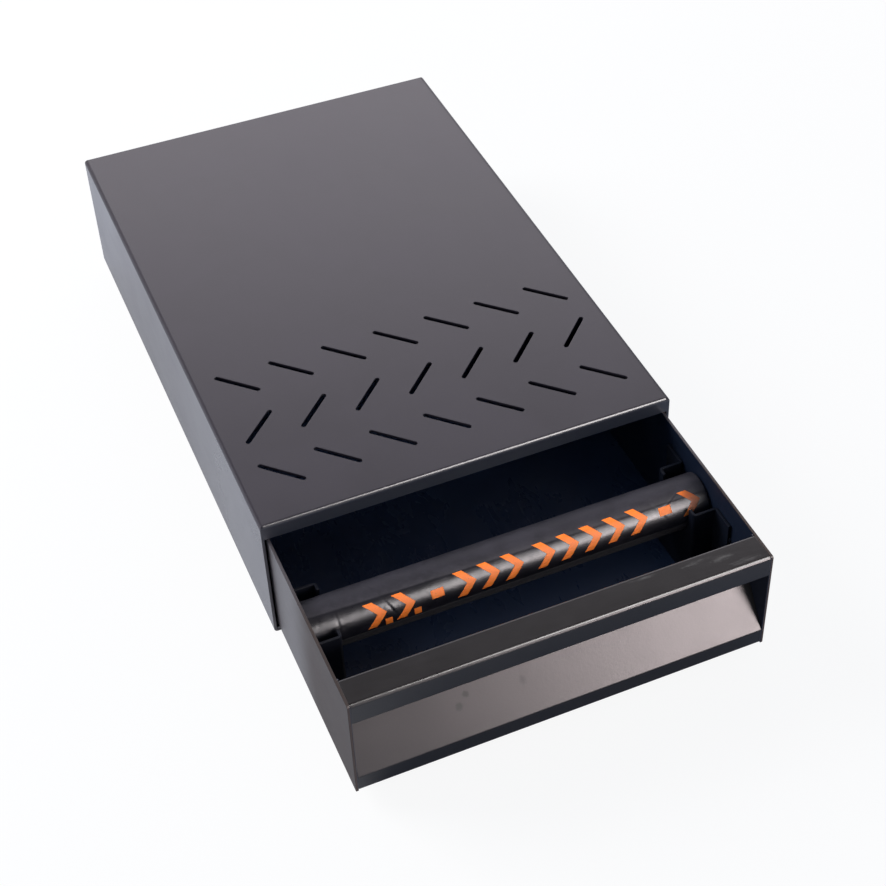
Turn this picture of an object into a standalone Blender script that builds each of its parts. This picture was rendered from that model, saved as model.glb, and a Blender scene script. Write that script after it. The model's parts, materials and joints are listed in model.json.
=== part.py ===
"""Knock box grinder base: a folded sheet-steel casing for a coffee grinder to stand on, with a drawer that
carries a rubber-covered knock bar. Metres, +Z up, front towards -Y, at rest with the drawer partly open.
The origin is at the middle of the whole object's footprint, on the surface that the feet stand on."""

import math

import bmesh
import bpy
from mathutils import Matrix, Vector

MM = 0.001

# Sheet metal and fits
SHEET = 2.0 * MM
BEND_RADIUS = 2.5 * MM
SEAT_GAP = 0.3 * MM
OVERRUN = 5.0 * MM
MERGE_DISTANCE = 0.001 * MM

# Casing
CASING_WIDTH = 300.0 * MM
CASING_LENGTH = 455.0 * MM
CASING_HEIGHT = 103.0 * MM
CASING_LIP = 12.0 * MM
RETURN_FLANGE = 25.0 * MM
BACK_FLANGE = 14.0 * MM
BASE_SHEET = 1.5 * MM

# Slots in the casing's top, in rows that lean opposite ways
SLOT_LENGTH = 36.0 * MM
SLOT_WIDTH = 3.5 * MM
SLOT_PITCH = 40.0 * MM
SLOT_FIRST_ROW = 43.4 * MM
SLOT_ROW_STEP = 48.5 * MM
SLOT_LEAN = math.radians(45)
SLOTS_IN_ROW = 7
SLOT_ROWS = 3

# Slide strips that the drawer runs on
GLIDE_THICKNESS = 1.4 * MM
GLIDE_WIDTH = 12.0 * MM
GLIDE_FROM_SIDE = 36.0 * MM
GLIDE_END_MARGIN = 20.0 * MM

# Rubber feet and their screws
FOOT_RADIUS = 9.0 * MM
FOOT_HEIGHT = 6.0 * MM
FOOT_EDGE = 1.0 * MM
FOOT_FROM_SIDE = 14.0 * MM
FOOT_FROM_END = 25.0 * MM
FOOT_RECESS_RADIUS = 4.4 * MM
FOOT_RECESS_DEPTH = 3.2 * MM
SCREW_RADIUS = 1.9 * MM
SCREW_HEAD_RADIUS = 3.6 * MM
SCREW_HEAD_HEIGHT = 2.2 * MM
SCREW_TIP = 0.9 * MM
SOCKET_RADIUS = 1.5 * MM
SOCKET_DEPTH = 1.2 * MM

# Rubber bumpers that stop the closing drawer
BUMPER_RADIUS = 6.0 * MM
BUMPER_HEIGHT = 6.0 * MM
BUMPER_ROUNDING = 1.5 * MM
BUMPER_FROM_SIDE = 45.0 * MM
BUMPER_LEVEL = 45.0 * MM

# Drawer
DRAWER_PULL = 150.0 * MM
SIDE_CLEARANCE = 1.5 * MM
TOP_CLEARANCE = 0.5 * MM
CLOSED_CLEARANCE = 0.5 * MM
FRONT_LIP = 17.0 * MM
FLANGE_DEPTH = 22.8 * MM
SILL_FOLD = 13.0 * MM
RECESS_FOLD = 41.5 * MM
SIDE_CORNER = 1.5 * MM

# Bar brackets, folded to a hat section and welded to the drawer's sides
BRACKET_SPAN = 51.0 * MM
BRACKET_DEPTH = 18.8 * MM
BRACKET_FOOT = 18.0 * MM
BRACKET_TOP = 67.4 * MM
NOTCH_CLEARANCE = 0.3 * MM

# Knock bar
BAR_SETBACK = 92.4 * MM
BAR_LEVEL = 55.6 * MM
HOSE_RADIUS = 18.1 * MM
HOSE_WALL = 5.4 * MM
HOSE_END_CLEARANCE = 1.0 * MM
HOSE_EDGE = 0.8 * MM
CORE_WALL = 2.0 * MM
CORE_INSET = 2.0 * MM

BEND_STEPS = 6
ROUND_STEPS = 48
SMALL_ROUND_STEPS = 24

# Places worked out from the sizes above
CASING_INNER_HALF = CASING_WIDTH / 2 - SHEET
CASING_FRONT = -(CASING_LENGTH + DRAWER_PULL) / 2 + DRAWER_PULL
CASING_BOTTOM = FOOT_HEIGHT + SEAT_GAP
BACK_PANEL_FRONT = CASING_LENGTH - SHEET
BASE_BOTTOM = SHEET + SEAT_GAP
BASE_TOP = BASE_BOTTOM + BASE_SHEET
GLIDE_BOTTOM = BASE_TOP + SEAT_GAP
DRAWER_BOTTOM = GLIDE_BOTTOM + GLIDE_THICKNESS + SEAT_GAP
DRAWER_HALF = CASING_INNER_HALF - SIDE_CLEARANCE
DRAWER_INNER_HALF = DRAWER_HALF - SHEET
DRAWER_HEIGHT = CASING_HEIGHT - CASING_LIP - TOP_CLEARANCE - DRAWER_BOTTOM
DRAWER_LENGTH = BACK_PANEL_FRONT - SEAT_GAP - BUMPER_HEIGHT - CLOSED_CLEARANCE
HOSE_BORE_RADIUS = HOSE_RADIUS - HOSE_WALL
CORE_RADIUS = HOSE_BORE_RADIUS - SEAT_GAP
HOSE_HALF = DRAWER_INNER_HALF - HOSE_END_CLEARANCE
CORE_HALF = HOSE_HALF - CORE_INSET

SIDES = {"left": -1, "right": 1}
ENDS = {"front": FOOT_FROM_END, "back": CASING_LENGTH - FOOT_FROM_END}


def clear_scene():
    for obj in list(bpy.data.objects):
        bpy.data.objects.remove(obj)


def principled(name, colour, roughness, metallic=0.0):
    material = bpy.data.materials.new(name)
    material.use_nodes = True
    shader = material.node_tree.nodes["Principled BSDF"]
    shader.inputs["Base Color"].default_value = (*colour, 1.0)
    shader.inputs["Roughness"].default_value = roughness
    shader.inputs["Metallic"].default_value = metallic
    material.diffuse_color = (*colour, 1.0)
    return material


def frame_empty(name, location, parent=None):
    """An empty that a group of pieces is modelled in: the casing, the drawer or the knock bar."""
    empty = bpy.data.objects.new(name, None)
    empty.location = location
    empty.parent = parent
    bpy.context.scene.collection.objects.link(empty)
    return empty


def object_from(bm, name, parent, material=None, smooth=False):
    bmesh.ops.remove_doubles(bm, verts=bm.verts, dist=MERGE_DISTANCE)
    bmesh.ops.recalc_face_normals(bm, faces=bm.faces)
    mesh = bpy.data.meshes.new(name)
    bm.to_mesh(mesh)
    bm.free()
    if smooth:
        mesh.shade_smooth()
        mesh.set_sharp_from_angle(angle=math.radians(35))
    if material:
        mesh.materials.append(material)
    obj = bpy.data.objects.new(name, mesh)
    obj.parent = parent
    bpy.context.scene.collection.objects.link(obj)
    return obj


def add_prism(bm, outline, across, start, end):
    """Adds an outline of (u, v) points, extruded from start to end along the axis named by across:
    X takes (y, z) points, Y takes (x, z) points and Z takes (x, y) points."""
    place = {
        "X": lambda u, v, w: (w, u, v),
        "Y": lambda u, v, w: (u, w, v),
        "Z": lambda u, v, w: (u, v, w),
    }[across]
    face = bm.faces.new([bm.verts.new(place(u, v, start)) for u, v in outline])
    moved = bmesh.ops.extrude_face_region(bm, geom=[face])["geom"]
    tops = [item for item in moved if isinstance(item, bmesh.types.BMVert)]
    bmesh.ops.translate(bm, verts=tops, vec=Vector(place(0, 0, end - start)))


def prism(outline, across, start, end):
    bm = bmesh.new()
    add_prism(bm, outline, across, start, end)
    return bm


def add_box(bm, low, high):
    outline = [(low[0], low[1]), (high[0], low[1]), (high[0], high[1]), (low[0], high[1])]
    add_prism(bm, outline, "Z", low[2], high[2])


def turned(profile, steps, axis="Z"):
    """Turns a closed outline of (radius, height) points about an axis through the origin."""
    bm = bmesh.new()
    verts = [bm.verts.new((radius, 0, height)) for radius, height in profile]
    edges = [bm.edges.new((verts[i - 1], verts[i])) for i in range(len(verts))]
    bmesh.ops.spin(
        bm, geom=verts + edges, cent=(0, 0, 0), axis=(0, 0, 1), angle=2 * math.pi, steps=steps, use_merge=True
    )
    bmesh.ops.remove_doubles(bm, verts=bm.verts, dist=MERGE_DISTANCE)
    loose = [edge for edge in bm.edges if not edge.link_faces]
    bmesh.ops.delete(bm, geom=loose, context="EDGES")
    turn = {"Z": Matrix.Identity(3), "X": Matrix.Rotation(math.pi / 2, 3, "Y")}
    turn["Y"] = Matrix.Rotation(-math.pi / 2, 3, "X")
    bmesh.ops.transform(bm, matrix=turn[axis].to_4x4(), verts=bm.verts)
    return bm


def circle(centre, radius, steps, start=0.0, turn=2 * math.pi, closed=True):
    count = steps if closed else steps + 1
    return [
        (
            centre[0] + radius * math.cos(start + turn * i / steps),
            centre[1] + radius * math.sin(start + turn * i / steps),
        )
        for i in range(count)
    ]


def folded_outline(corners, thickness, outer_radius):
    """The closed outline of a folded sheet. The corners are where its middle line folds, with its two ends,
    and each fold is an arc whose outside has outer_radius."""
    middle_radius = outer_radius - thickness / 2
    points = [Vector(corner) for corner in corners]
    line = [(points[0], (points[1] - points[0]).normalized())]
    for before, corner, after in zip(points, points[1:], points[2:]):
        into = (corner - before).normalized()
        out = (after - corner).normalized()
        turn = into.angle_signed(out)
        reach = middle_radius * math.tan(abs(turn) / 2)
        side = 1 if turn < 0 else -1
        normal = Vector((-into.y, into.x)) * side
        centre = corner - into * reach + normal * middle_radius
        for step in range(BEND_STEPS + 1):
            spin = Matrix.Rotation(-turn * step / BEND_STEPS, 2)
            line.append((centre - spin @ normal * middle_radius, spin @ into))
    line.append((points[-1], (points[-1] - points[-2]).normalized()))
    left = [point + Vector((-way.y, way.x)) * thickness / 2 for point, way in line]
    right = [point - Vector((-way.y, way.x)) * thickness / 2 for point, way in line]
    return [tuple(point) for point in left + right[::-1]]


def cut(obj, bm, name):
    """Takes the shape in bm out of obj, with a hidden cutter that stays in the scene."""
    cutter = object_from(bm, name, obj.parent)
    cutter.hide_render = True
    cutter.display_type = "WIRE"
    modifier = obj.modifiers.new(name, "BOOLEAN")
    modifier.operation = "DIFFERENCE"
    modifier.solver = "EXACT"
    modifier.object = cutter


def screw_places():
    """Name, x and y of each foot, measured from the casing's front edge."""
    for end, y in ENDS.items():
        for side, sign in SIDES.items():
            yield f"{end}_{side}", sign * (CASING_WIDTH / 2 - FOOT_FROM_SIDE), y


def screw_holes(bottom, top):
    bm = bmesh.new()
    for _, x, y in screw_places():
        add_prism(bm, circle((x, y), SCREW_RADIUS + SEAT_GAP, SMALL_ROUND_STEPS), "Z", bottom, top)
    return bm


def slot_outline(centre, lean):
    """A slot with round ends, whose long axis leans by the angle from +X."""
    straight = (SLOT_LENGTH - SLOT_WIDTH) / 2
    along = Vector((math.cos(lean), math.sin(lean))) * straight
    points = []
    for end in (1, -1):
        middle = Vector(centre) + along * end
        start = lean - math.pi / 2 if end > 0 else lean + math.pi / 2
        points += circle(middle, SLOT_WIDTH / 2, SMALL_ROUND_STEPS // 4, start, math.pi, closed=False)
    return points


def slots():
    bm = bmesh.new()
    for row in range(SLOT_ROWS):
        lean = SLOT_LEAN if row % 2 else -SLOT_LEAN
        for column in range(SLOTS_IN_ROW):
            x = (column - (SLOTS_IN_ROW - 1) / 2) * SLOT_PITCH
            y = SLOT_FIRST_ROW + row * SLOT_ROW_STEP
            add_prism(bm, slot_outline((x, y), lean), "Z", CASING_HEIGHT - SHEET - OVERRUN, CASING_HEIGHT + OVERRUN)
    return bm


def casing_shell(parent, material):
    """Top, sides, front lip and the bottom flanges that turn inwards, folded from one sheet."""
    half = CASING_WIDTH / 2
    bm = bmesh.new()
    add_box(bm, (-half, 0, 0), (half, CASING_LENGTH, CASING_HEIGHT))
    folds = []
    for edge in bm.edges:
        start, end = (vert.co for vert in edge.verts)
        middle = (start + end) / 2
        along_side = start.y != end.y
        along_front = start.x != end.x and middle.y < CASING_LENGTH / 2 and middle.z > CASING_HEIGHT / 2
        if along_side or along_front:
            folds.append(edge)
    bmesh.ops.bevel(bm, geom=folds, offset=BEND_RADIUS, segments=BEND_STEPS, profile=0.5, affect="EDGES")
    shell = object_from(bm, "casing_shell", parent, material)
    below_lip = CASING_HEIGHT - CASING_LIP
    hollow = [
        (-OVERRUN, SHEET),
        (CASING_LENGTH + OVERRUN, SHEET),
        (CASING_LENGTH + OVERRUN, CASING_HEIGHT - SHEET),
        (SHEET, CASING_HEIGHT - SHEET),
        (SHEET, below_lip),
        (-OVERRUN, below_lip),
    ]
    cut(shell, prism(hollow, "X", -CASING_INNER_HALF, CASING_INNER_HALF), "casing_hollow_cutter")
    between = half - RETURN_FLANGE
    opening = bmesh.new()
    add_box(opening, (-between, -OVERRUN, -OVERRUN), (between, CASING_LENGTH + OVERRUN, SHEET + OVERRUN))
    cut(shell, opening, "casing_bottom_cutter")
    cut(shell, screw_holes(-OVERRUN, SHEET + OVERRUN), "casing_screw_cutter")
    cut(shell, slots(), "slot_cutter")


def back_panel(parent, material):
    """Closes the casing's back, with a flange that is welded under the top."""
    top = CASING_HEIGHT - SHEET - SEAT_GAP
    middle = CASING_LENGTH - SHEET / 2
    corners = [(middle, BASE_BOTTOM), (middle, top - SHEET / 2), (middle - BACK_FLANGE, top - SHEET / 2)]
    outline = folded_outline(corners, SHEET, BEND_RADIUS)
    half = CASING_INNER_HALF - SEAT_GAP
    object_from(prism(outline, "X", -half, half), "back_panel", parent, material)


def base_plate(parent, material):
    half = CASING_INNER_HALF - SEAT_GAP
    bm = bmesh.new()
    add_box(bm, (-half, 0, BASE_BOTTOM), (half, BACK_PANEL_FRONT - SEAT_GAP, BASE_TOP))
    plate = object_from(bm, "base_plate", parent, material)
    cut(plate, screw_holes(BASE_BOTTOM - OVERRUN, BASE_TOP + OVERRUN), "base_screw_cutter")


def glides(parent, material):
    for side, sign in SIDES.items():
        middle = sign * (CASING_WIDTH / 2 - GLIDE_FROM_SIDE)
        bm = bmesh.new()
        add_box(
            bm,
            (middle - GLIDE_WIDTH / 2, GLIDE_END_MARGIN, GLIDE_BOTTOM),
            (middle + GLIDE_WIDTH / 2, BACK_PANEL_FRONT - GLIDE_END_MARGIN, GLIDE_BOTTOM + GLIDE_THICKNESS),
        )
        object_from(bm, f"glide_{side}", parent, material)


def feet(parent, rubber, steel):
    """Each foot is a rubber disc with a deep recess underneath for the head of the screw that holds it."""
    hole = SCREW_RADIUS + SEAT_GAP
    foot_profile = [
        (hole, FOOT_HEIGHT),
        (FOOT_RADIUS, FOOT_HEIGHT),
        (FOOT_RADIUS, FOOT_EDGE),
        (FOOT_RADIUS - FOOT_EDGE, 0),
        (FOOT_RECESS_RADIUS, 0),
        (FOOT_RECESS_RADIUS, FOOT_RECESS_DEPTH),
        (hole, FOOT_RECESS_DEPTH),
    ]
    seat = FOOT_RECESS_DEPTH - SEAT_GAP
    tip = CASING_BOTTOM + BASE_TOP + SCREW_TIP
    low = seat - SCREW_HEAD_HEIGHT
    screw_profile = [
        (0, tip),
        (SCREW_RADIUS, tip),
        (SCREW_RADIUS, seat),
        (SCREW_HEAD_RADIUS, seat),
        (SCREW_HEAD_RADIUS, low + SCREW_HEAD_HEIGHT / 3),
        (SCREW_HEAD_RADIUS - SCREW_HEAD_HEIGHT / 3, low),
        (0, low),
    ]
    for name, x, y in screw_places():
        place = (x, y, -CASING_BOTTOM)
        foot = object_from(turned(foot_profile, ROUND_STEPS), f"foot_{name}", parent, rubber, smooth=True)
        foot.location = place
        screw = object_from(
            turned(screw_profile, SMALL_ROUND_STEPS), f"foot_screw_{name}", parent, steel, smooth=True
        )
        screw.location = place
        socket = prism(circle((0, 0), SOCKET_RADIUS, 6), "Z", low - OVERRUN, low + SOCKET_DEPTH)
        bmesh.ops.translate(socket, verts=socket.verts, vec=Vector(place))
        cut(screw, socket, f"socket_cutter_{name}")


def bumpers(parent, rubber):
    """Two stuck-on rubber buttons inside the back panel. The closed drawer stops just in front of them."""
    for side, sign in SIDES.items():
        profile = [(0, 0), (BUMPER_RADIUS, 0)]
        profile += circle(
            (BUMPER_RADIUS - BUMPER_ROUNDING, BUMPER_HEIGHT - BUMPER_ROUNDING),
            BUMPER_ROUNDING,
            BEND_STEPS,
            0.0,
            math.pi / 2,
            closed=False,
        )
        profile += [(0, BUMPER_HEIGHT)]
        bm = turned([(radius, -height) for radius, height in profile], SMALL_ROUND_STEPS, "Y")
        bumper = object_from(bm, f"bumper_{side}", parent, rubber, smooth=True)
        x = sign * (CASING_WIDTH / 2 - BUMPER_FROM_SIDE)
        bumper.location = (x, BACK_PANEL_FRONT - SEAT_GAP, BUMPER_LEVEL)


def drawer_tray(parent, material):
    """The strip that folds down from the front lip to the hand recess, floor and rear wall. Points are
    (distance behind the drawer's front, height above its underside) along the sheet's middle."""
    near = SHEET / 2
    flange_back = FLANGE_DEPTH - SHEET / 2
    rear = DRAWER_LENGTH - SHEET / 2
    corners = [
        (near, DRAWER_HEIGHT - FRONT_LIP),
        (near, DRAWER_HEIGHT - SHEET / 2),
        (flange_back, DRAWER_HEIGHT - SHEET / 2),
        (flange_back, RECESS_FOLD),
        (near, SILL_FOLD),
        (near, SHEET / 2),
        (rear, SHEET / 2),
        (rear, DRAWER_HEIGHT),
    ]
    outline = folded_outline(corners, SHEET, BEND_RADIUS)
    half = DRAWER_INNER_HALF - SEAT_GAP
    object_from(prism(outline, "X", -half, half), "drawer_tray", parent, material)


def drawer_sides(parent, material):
    """Flat plates that run the drawer's full height to its very front, with their raw edges showing."""
    corner = (SIDE_CORNER, DRAWER_HEIGHT - SIDE_CORNER)
    outline = [(0, 0), (DRAWER_LENGTH, 0), (DRAWER_LENGTH, DRAWER_HEIGHT)]
    outline += circle(corner, SIDE_CORNER, BEND_STEPS, math.pi / 2, math.pi / 2, closed=False)
    for side, sign in SIDES.items():
        start, end = sorted((sign * DRAWER_INNER_HALF, sign * DRAWER_HALF))
        object_from(prism(outline, "X", start, end), f"drawer_side_{side}", parent, material)


def bar_brackets(parent, material):
    """Hat sections with feet welded to the drawer's sides and an open notch in the web for the bar."""
    foot_middle = SEAT_GAP + SHEET / 2
    web_middle = BRACKET_DEPTH - SHEET / 2
    leg = BRACKET_SPAN / 2 - SHEET / 2
    foot_end = BRACKET_SPAN / 2 + BRACKET_FOOT
    corners = [
        (foot_middle, foot_end),
        (foot_middle, leg),
        (web_middle, leg),
        (web_middle, -leg),
        (foot_middle, -leg),
        (foot_middle, -foot_end),
    ]
    notch_radius = HOSE_RADIUS + NOTCH_CLEARANCE
    notch = circle((BAR_SETBACK, BAR_LEVEL), notch_radius, ROUND_STEPS // 2, -math.pi, math.pi, closed=False)
    notch += [(BAR_SETBACK + notch_radius, BRACKET_TOP + OVERRUN), (BAR_SETBACK - notch_radius, BRACKET_TOP + OVERRUN)]
    for side, sign in SIDES.items():
        outline = [
            (sign * (DRAWER_INNER_HALF - depth), BAR_SETBACK + along)
            for depth, along in folded_outline(corners, SHEET, BEND_RADIUS)
        ]
        bracket = object_from(
            prism(outline, "Z", SHEET + SEAT_GAP, BRACKET_TOP), f"bar_bracket_{side}", parent, material
        )
        start, end = sorted((0, sign * (DRAWER_INNER_HALF + SHEET)))
        cut(bracket, prism(notch, "X", start, end), f"notch_cutter_{side}")


def knock_bar(parent, rubber, steel):
    """A steel tube with a thick rubber hose over it. Both lie along X, with the axis through the origin."""
    hose_profile = [
        (HOSE_RADIUS - HOSE_EDGE, HOSE_HALF),
        (HOSE_RADIUS, HOSE_HALF - HOSE_EDGE),
        (HOSE_RADIUS, -HOSE_HALF + HOSE_EDGE),
        (HOSE_RADIUS - HOSE_EDGE, -HOSE_HALF),
        (HOSE_BORE_RADIUS, -HOSE_HALF),
        (HOSE_BORE_RADIUS, HOSE_HALF),
    ]
    object_from(turned(hose_profile, ROUND_STEPS, "X"), "bar_hose", parent, rubber, smooth=True)
    bore = CORE_RADIUS - CORE_WALL
    core_profile = [(CORE_RADIUS, CORE_HALF), (CORE_RADIUS, -CORE_HALF), (bore, -CORE_HALF), (bore, CORE_HALF)]
    object_from(turned(core_profile, ROUND_STEPS, "X"), "bar_core", parent, steel, smooth=True)


def main():
    clear_scene()
    black_steel = principled("black_powder_coat", (0.034, 0.032, 0.036), 0.38)
    black_drawer = principled("black_powder_coat_drawer", (0.030, 0.029, 0.031), 0.36)
    rubber = principled("black_rubber", (0.020, 0.020, 0.022), 0.6)
    hose_rubber = principled("black_hose", (0.035, 0.035, 0.040), 0.5)
    nylon = principled("white_slide_strip", (0.62, 0.62, 0.58), 0.45)
    zinc = principled("zinc_plated_steel", (0.55, 0.56, 0.57), 0.35, metallic=1.0)

    casing = frame_empty("casing", (0, CASING_FRONT, CASING_BOTTOM))
    casing_shell(casing, black_steel)
    back_panel(casing, black_steel)
    base_plate(casing, black_steel)
    glides(casing, nylon)
    feet(casing, rubber, zinc)
    bumpers(casing, rubber)

    drawer = frame_empty("drawer", (0, -DRAWER_PULL, DRAWER_BOTTOM), casing)
    drawer_tray(drawer, black_drawer)
    drawer_sides(drawer, black_drawer)
    bar_brackets(drawer, black_drawer)

    bar = frame_empty("knock_bar", (0, BAR_SETBACK, BAR_LEVEL), drawer)
    knock_bar(bar, hose_rubber, zinc)


main()
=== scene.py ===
import json
import math

import bmesh
import bpy
import numpy as np
from bpy.props import FloatProperty, FloatVectorProperty, IntProperty, PointerProperty
from mathutils import Matrix, Vector

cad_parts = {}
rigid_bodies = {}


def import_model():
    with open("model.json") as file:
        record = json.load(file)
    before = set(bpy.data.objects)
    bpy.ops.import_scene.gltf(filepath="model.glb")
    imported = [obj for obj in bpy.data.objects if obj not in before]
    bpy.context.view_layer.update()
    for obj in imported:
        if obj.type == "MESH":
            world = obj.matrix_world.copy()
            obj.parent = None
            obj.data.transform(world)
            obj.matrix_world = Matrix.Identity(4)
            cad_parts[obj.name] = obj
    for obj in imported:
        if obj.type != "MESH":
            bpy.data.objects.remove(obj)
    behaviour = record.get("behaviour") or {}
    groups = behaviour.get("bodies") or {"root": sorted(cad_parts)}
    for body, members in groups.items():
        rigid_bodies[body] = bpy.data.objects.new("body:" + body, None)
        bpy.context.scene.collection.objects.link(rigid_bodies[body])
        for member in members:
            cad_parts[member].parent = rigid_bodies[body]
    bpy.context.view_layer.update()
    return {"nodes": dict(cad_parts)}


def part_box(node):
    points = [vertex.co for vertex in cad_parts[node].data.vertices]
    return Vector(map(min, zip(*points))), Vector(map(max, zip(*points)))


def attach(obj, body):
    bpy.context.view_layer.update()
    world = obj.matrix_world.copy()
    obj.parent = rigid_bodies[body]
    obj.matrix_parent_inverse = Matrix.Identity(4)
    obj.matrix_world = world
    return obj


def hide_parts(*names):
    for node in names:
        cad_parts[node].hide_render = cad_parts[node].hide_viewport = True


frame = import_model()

# Looks of a sheet-steel base for a coffee grinder with a knock-box drawer. Everything is in metres, in the
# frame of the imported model: +Z up, the drawer's front towards -Y.

bl_info = {
    "name": "Knock Box Grinder Base",
    "version": (1, 0, 0),
    "blender": (4, 5, 0),
    "location": "View3D > Sidebar > Knock Box",
    "description": "Dresses a folded-steel grinder base, its drawer and its rubber knock bar",
    "category": "Object",
}

MM = 0.001
FULL_TURN = 2 * math.pi


def node_box(name):
    """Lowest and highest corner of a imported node, as arrays."""
    low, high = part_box(name)
    return np.array(low), np.array(high)


HOSE_LOW, HOSE_HIGH = node_box("bar_hose")
BAR_CENTRE = ((HOSE_LOW + HOSE_HIGH) / 2).tolist()
HOSE_OUTSIDE = float(HOSE_HIGH[2] - HOSE_LOW[2]) / 2
HOSE_HALF = float(HOSE_HIGH[0])
CORE_LOW, CORE_HIGH = node_box("bar_core")
CORE_OUTSIDE = float(CORE_HIGH[2] - CORE_LOW[2]) / 2
CORE_HALF = float(CORE_HIGH[0])
CASING_LOW, CASING_HIGH = (corner.tolist() for corner in node_box("casing_shell"))
TRAY_LOW, TRAY_HIGH = (corner.tolist() for corner in node_box("drawer_tray"))
SIDE_LOW, SIDE_HIGH = (corner.tolist() for corner in node_box("drawer_side_right"))

# The steel sheet, the play between the bar's tube and its hose, and the outer radius of the casing's bends
SHEET = 2.0 * MM
FIT = 0.3 * MM
BEND_OUTSIDE = 2.5 * MM

# The drawer's folded strip: how far behind its front the bin starts, how far its front lip hangs down, and
# the heights over its underside where its recess and its sill are folded
FLANGE_BACK = 22.8 * MM
FRONT_LIP = 17.0 * MM
RECESS_FOLD = 41.5 * MM
SILL_FOLD = 13.0 * MM
BIN_FRONT = TRAY_LOW[1] + FLANGE_BACK

# Meshes

# How close points are merged, and from which angle an edge is a bend, stays sharp, or is rounded
SAME_POINT = 0.001 * MM
BEND_ANGLE = math.radians(1)
SHARP_ANGLE = math.radians(40)
SHEET_SHARP_ANGLE = math.radians(35)
ROUNDED_ANGLE = math.radians(36)


def grid_faces(rows, columns, close_rows=False, close_columns=False):
    """Quads of a grid whose points are numbered row by row. A closed direction joins its last line to its
    first."""
    row = np.arange(rows if close_rows else rows - 1)[:, None]
    column = np.arange(columns if close_columns else columns - 1)[None, :]
    next_row = (row + 1) % rows
    next_column = (column + 1) % columns
    corners = (
        row * columns + column,
        row * columns + next_column,
        next_row * columns + next_column,
        next_row * columns + column,
    )
    return np.stack(np.broadcast_arrays(*corners), axis=-1).reshape(-1, 4)


def tidy_mesh(mesh):
    """Merges doubled points, drops faces without area and turns every face outwards."""
    bm = bmesh.new()
    bm.from_mesh(mesh)
    bmesh.ops.remove_doubles(bm, verts=bm.verts, dist=SAME_POINT)
    bmesh.ops.dissolve_degenerate(bm, edges=bm.edges, dist=SAME_POINT)
    bmesh.ops.recalc_face_normals(bm, faces=bm.faces)
    bm.to_mesh(mesh)
    bm.free()


def shade(mesh, sharp_angle):
    """Shades the mesh round, but for edges that turn by more than the sharp angle."""
    mesh.shade_smooth()
    mesh.set_sharp_from_angle(angle=sharp_angle)


def piece(name, mesh, material, body, slot, *nodes):
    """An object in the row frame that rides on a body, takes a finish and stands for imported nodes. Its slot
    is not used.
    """
    mesh.materials.clear()
    mesh.materials.append(material)
    obj = bpy.data.objects.new(name, mesh)
    bpy.context.scene.collection.objects.link(obj)
    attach(obj, body)
    if nodes:
        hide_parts(*nodes)
    return obj


def surface_mesh(name, points, faces):
    """A mesh of points and faces, merged, turned outwards and shaded round up to the sharp angle."""
    mesh = bpy.data.meshes.new(name)
    mesh.from_pydata(np.asarray(points, dtype=float).reshape(-1, 3).tolist(), [], np.asarray(faces).tolist())
    tidy_mesh(mesh)
    shade(mesh, SHARP_ANGLE)
    return mesh


def rounded_profile(corners, radius, steps):
    """Rounds each inner corner of a polyline of (u, v) points with an arc of the radius that just touches
    both sides. The first and last points stay."""
    points = np.asarray(corners, dtype=float)
    line = [points[:1]]
    for before, corner, after in zip(points, points[1:], points[2:]):
        into = (corner - before) / np.linalg.norm(corner - before)
        out = (after - corner) / np.linalg.norm(after - corner)
        turn = math.acos(float(np.clip(into @ out, -1, 1)))
        if turn < BEND_ANGLE:
            line.append(corner[None])
            continue
        reach = radius * math.tan(turn / 2)
        share = np.linspace(0, 1, steps + 1)[:, None]
        bisector = (out - into) / np.linalg.norm(out - into)
        centre = corner + bisector * radius / math.cos(turn / 2)
        start = corner - into * reach - centre
        end = corner + out * reach - centre
        arc = (np.sin((1 - share) * turn) * start + np.sin(share * turn) * end) / math.sin(turn)
        line.append(centre + arc)
    line.append(points[-1:])
    return np.concatenate(line)


def turned_points(profile, steps, centre, axis, hexagon_share=None):
    """A profile of (radius, height) points turned about an axis: angle a puts a point at radius * (cos a,
    sin a) across the axis and at its height along it. A point's hexagon share turns its circle into a
    hexagon: its radius is multiplied by cos 30 / cos(a mod 60 - 30)."""
    profile = np.asarray(profile, dtype=float)
    angle = np.arange(steps) * FULL_TURN / steps
    sector = math.pi / 3
    flat = math.cos(sector / 2) / np.cos(angle % sector - sector / 2)
    share = np.zeros(len(profile)) if hexagon_share is None else np.asarray(hexagon_share, dtype=float)
    radius = profile[:, :1] * (1 + share[:, None] * (flat[None, :] - 1))
    height = np.broadcast_to(profile[:, 1:], radius.shape)
    across = (radius * np.cos(angle), radius * np.sin(angle))
    order = {"X": (height, *across), "Y": (across[1], height, across[0]), "Z": (*across, height)}[axis]
    return np.stack(order, axis=-1) + np.asarray(centre)


def turned_mesh(name, profile, steps, centre, axis, closed=False, hexagon_share=None):
    """The surface of turned_points. A closed profile joins its last point to its first."""
    points = turned_points(profile, steps, centre, axis, hexagon_share)
    return surface_mesh(name, points, grid_faces(len(profile), steps, close_rows=closed, close_columns=True))


def sheet_copy(node):
    """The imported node's own shape as a clean mesh: its loose triangles merged, its flat faces joined and its
    bends shaded round."""
    mesh = frame["nodes"][node].data.copy()
    bm = bmesh.new()
    bm.from_mesh(mesh)
    bmesh.ops.remove_doubles(bm, verts=bm.verts, dist=SAME_POINT)
    bmesh.ops.dissolve_limit(
        bm, angle_limit=BEND_ANGLE, use_dissolve_boundaries=False, verts=bm.verts, edges=bm.edges
    )
    bm.to_mesh(mesh)
    bm.free()
    shade(mesh, SHEET_SHARP_ANGLE)
    return mesh


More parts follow.
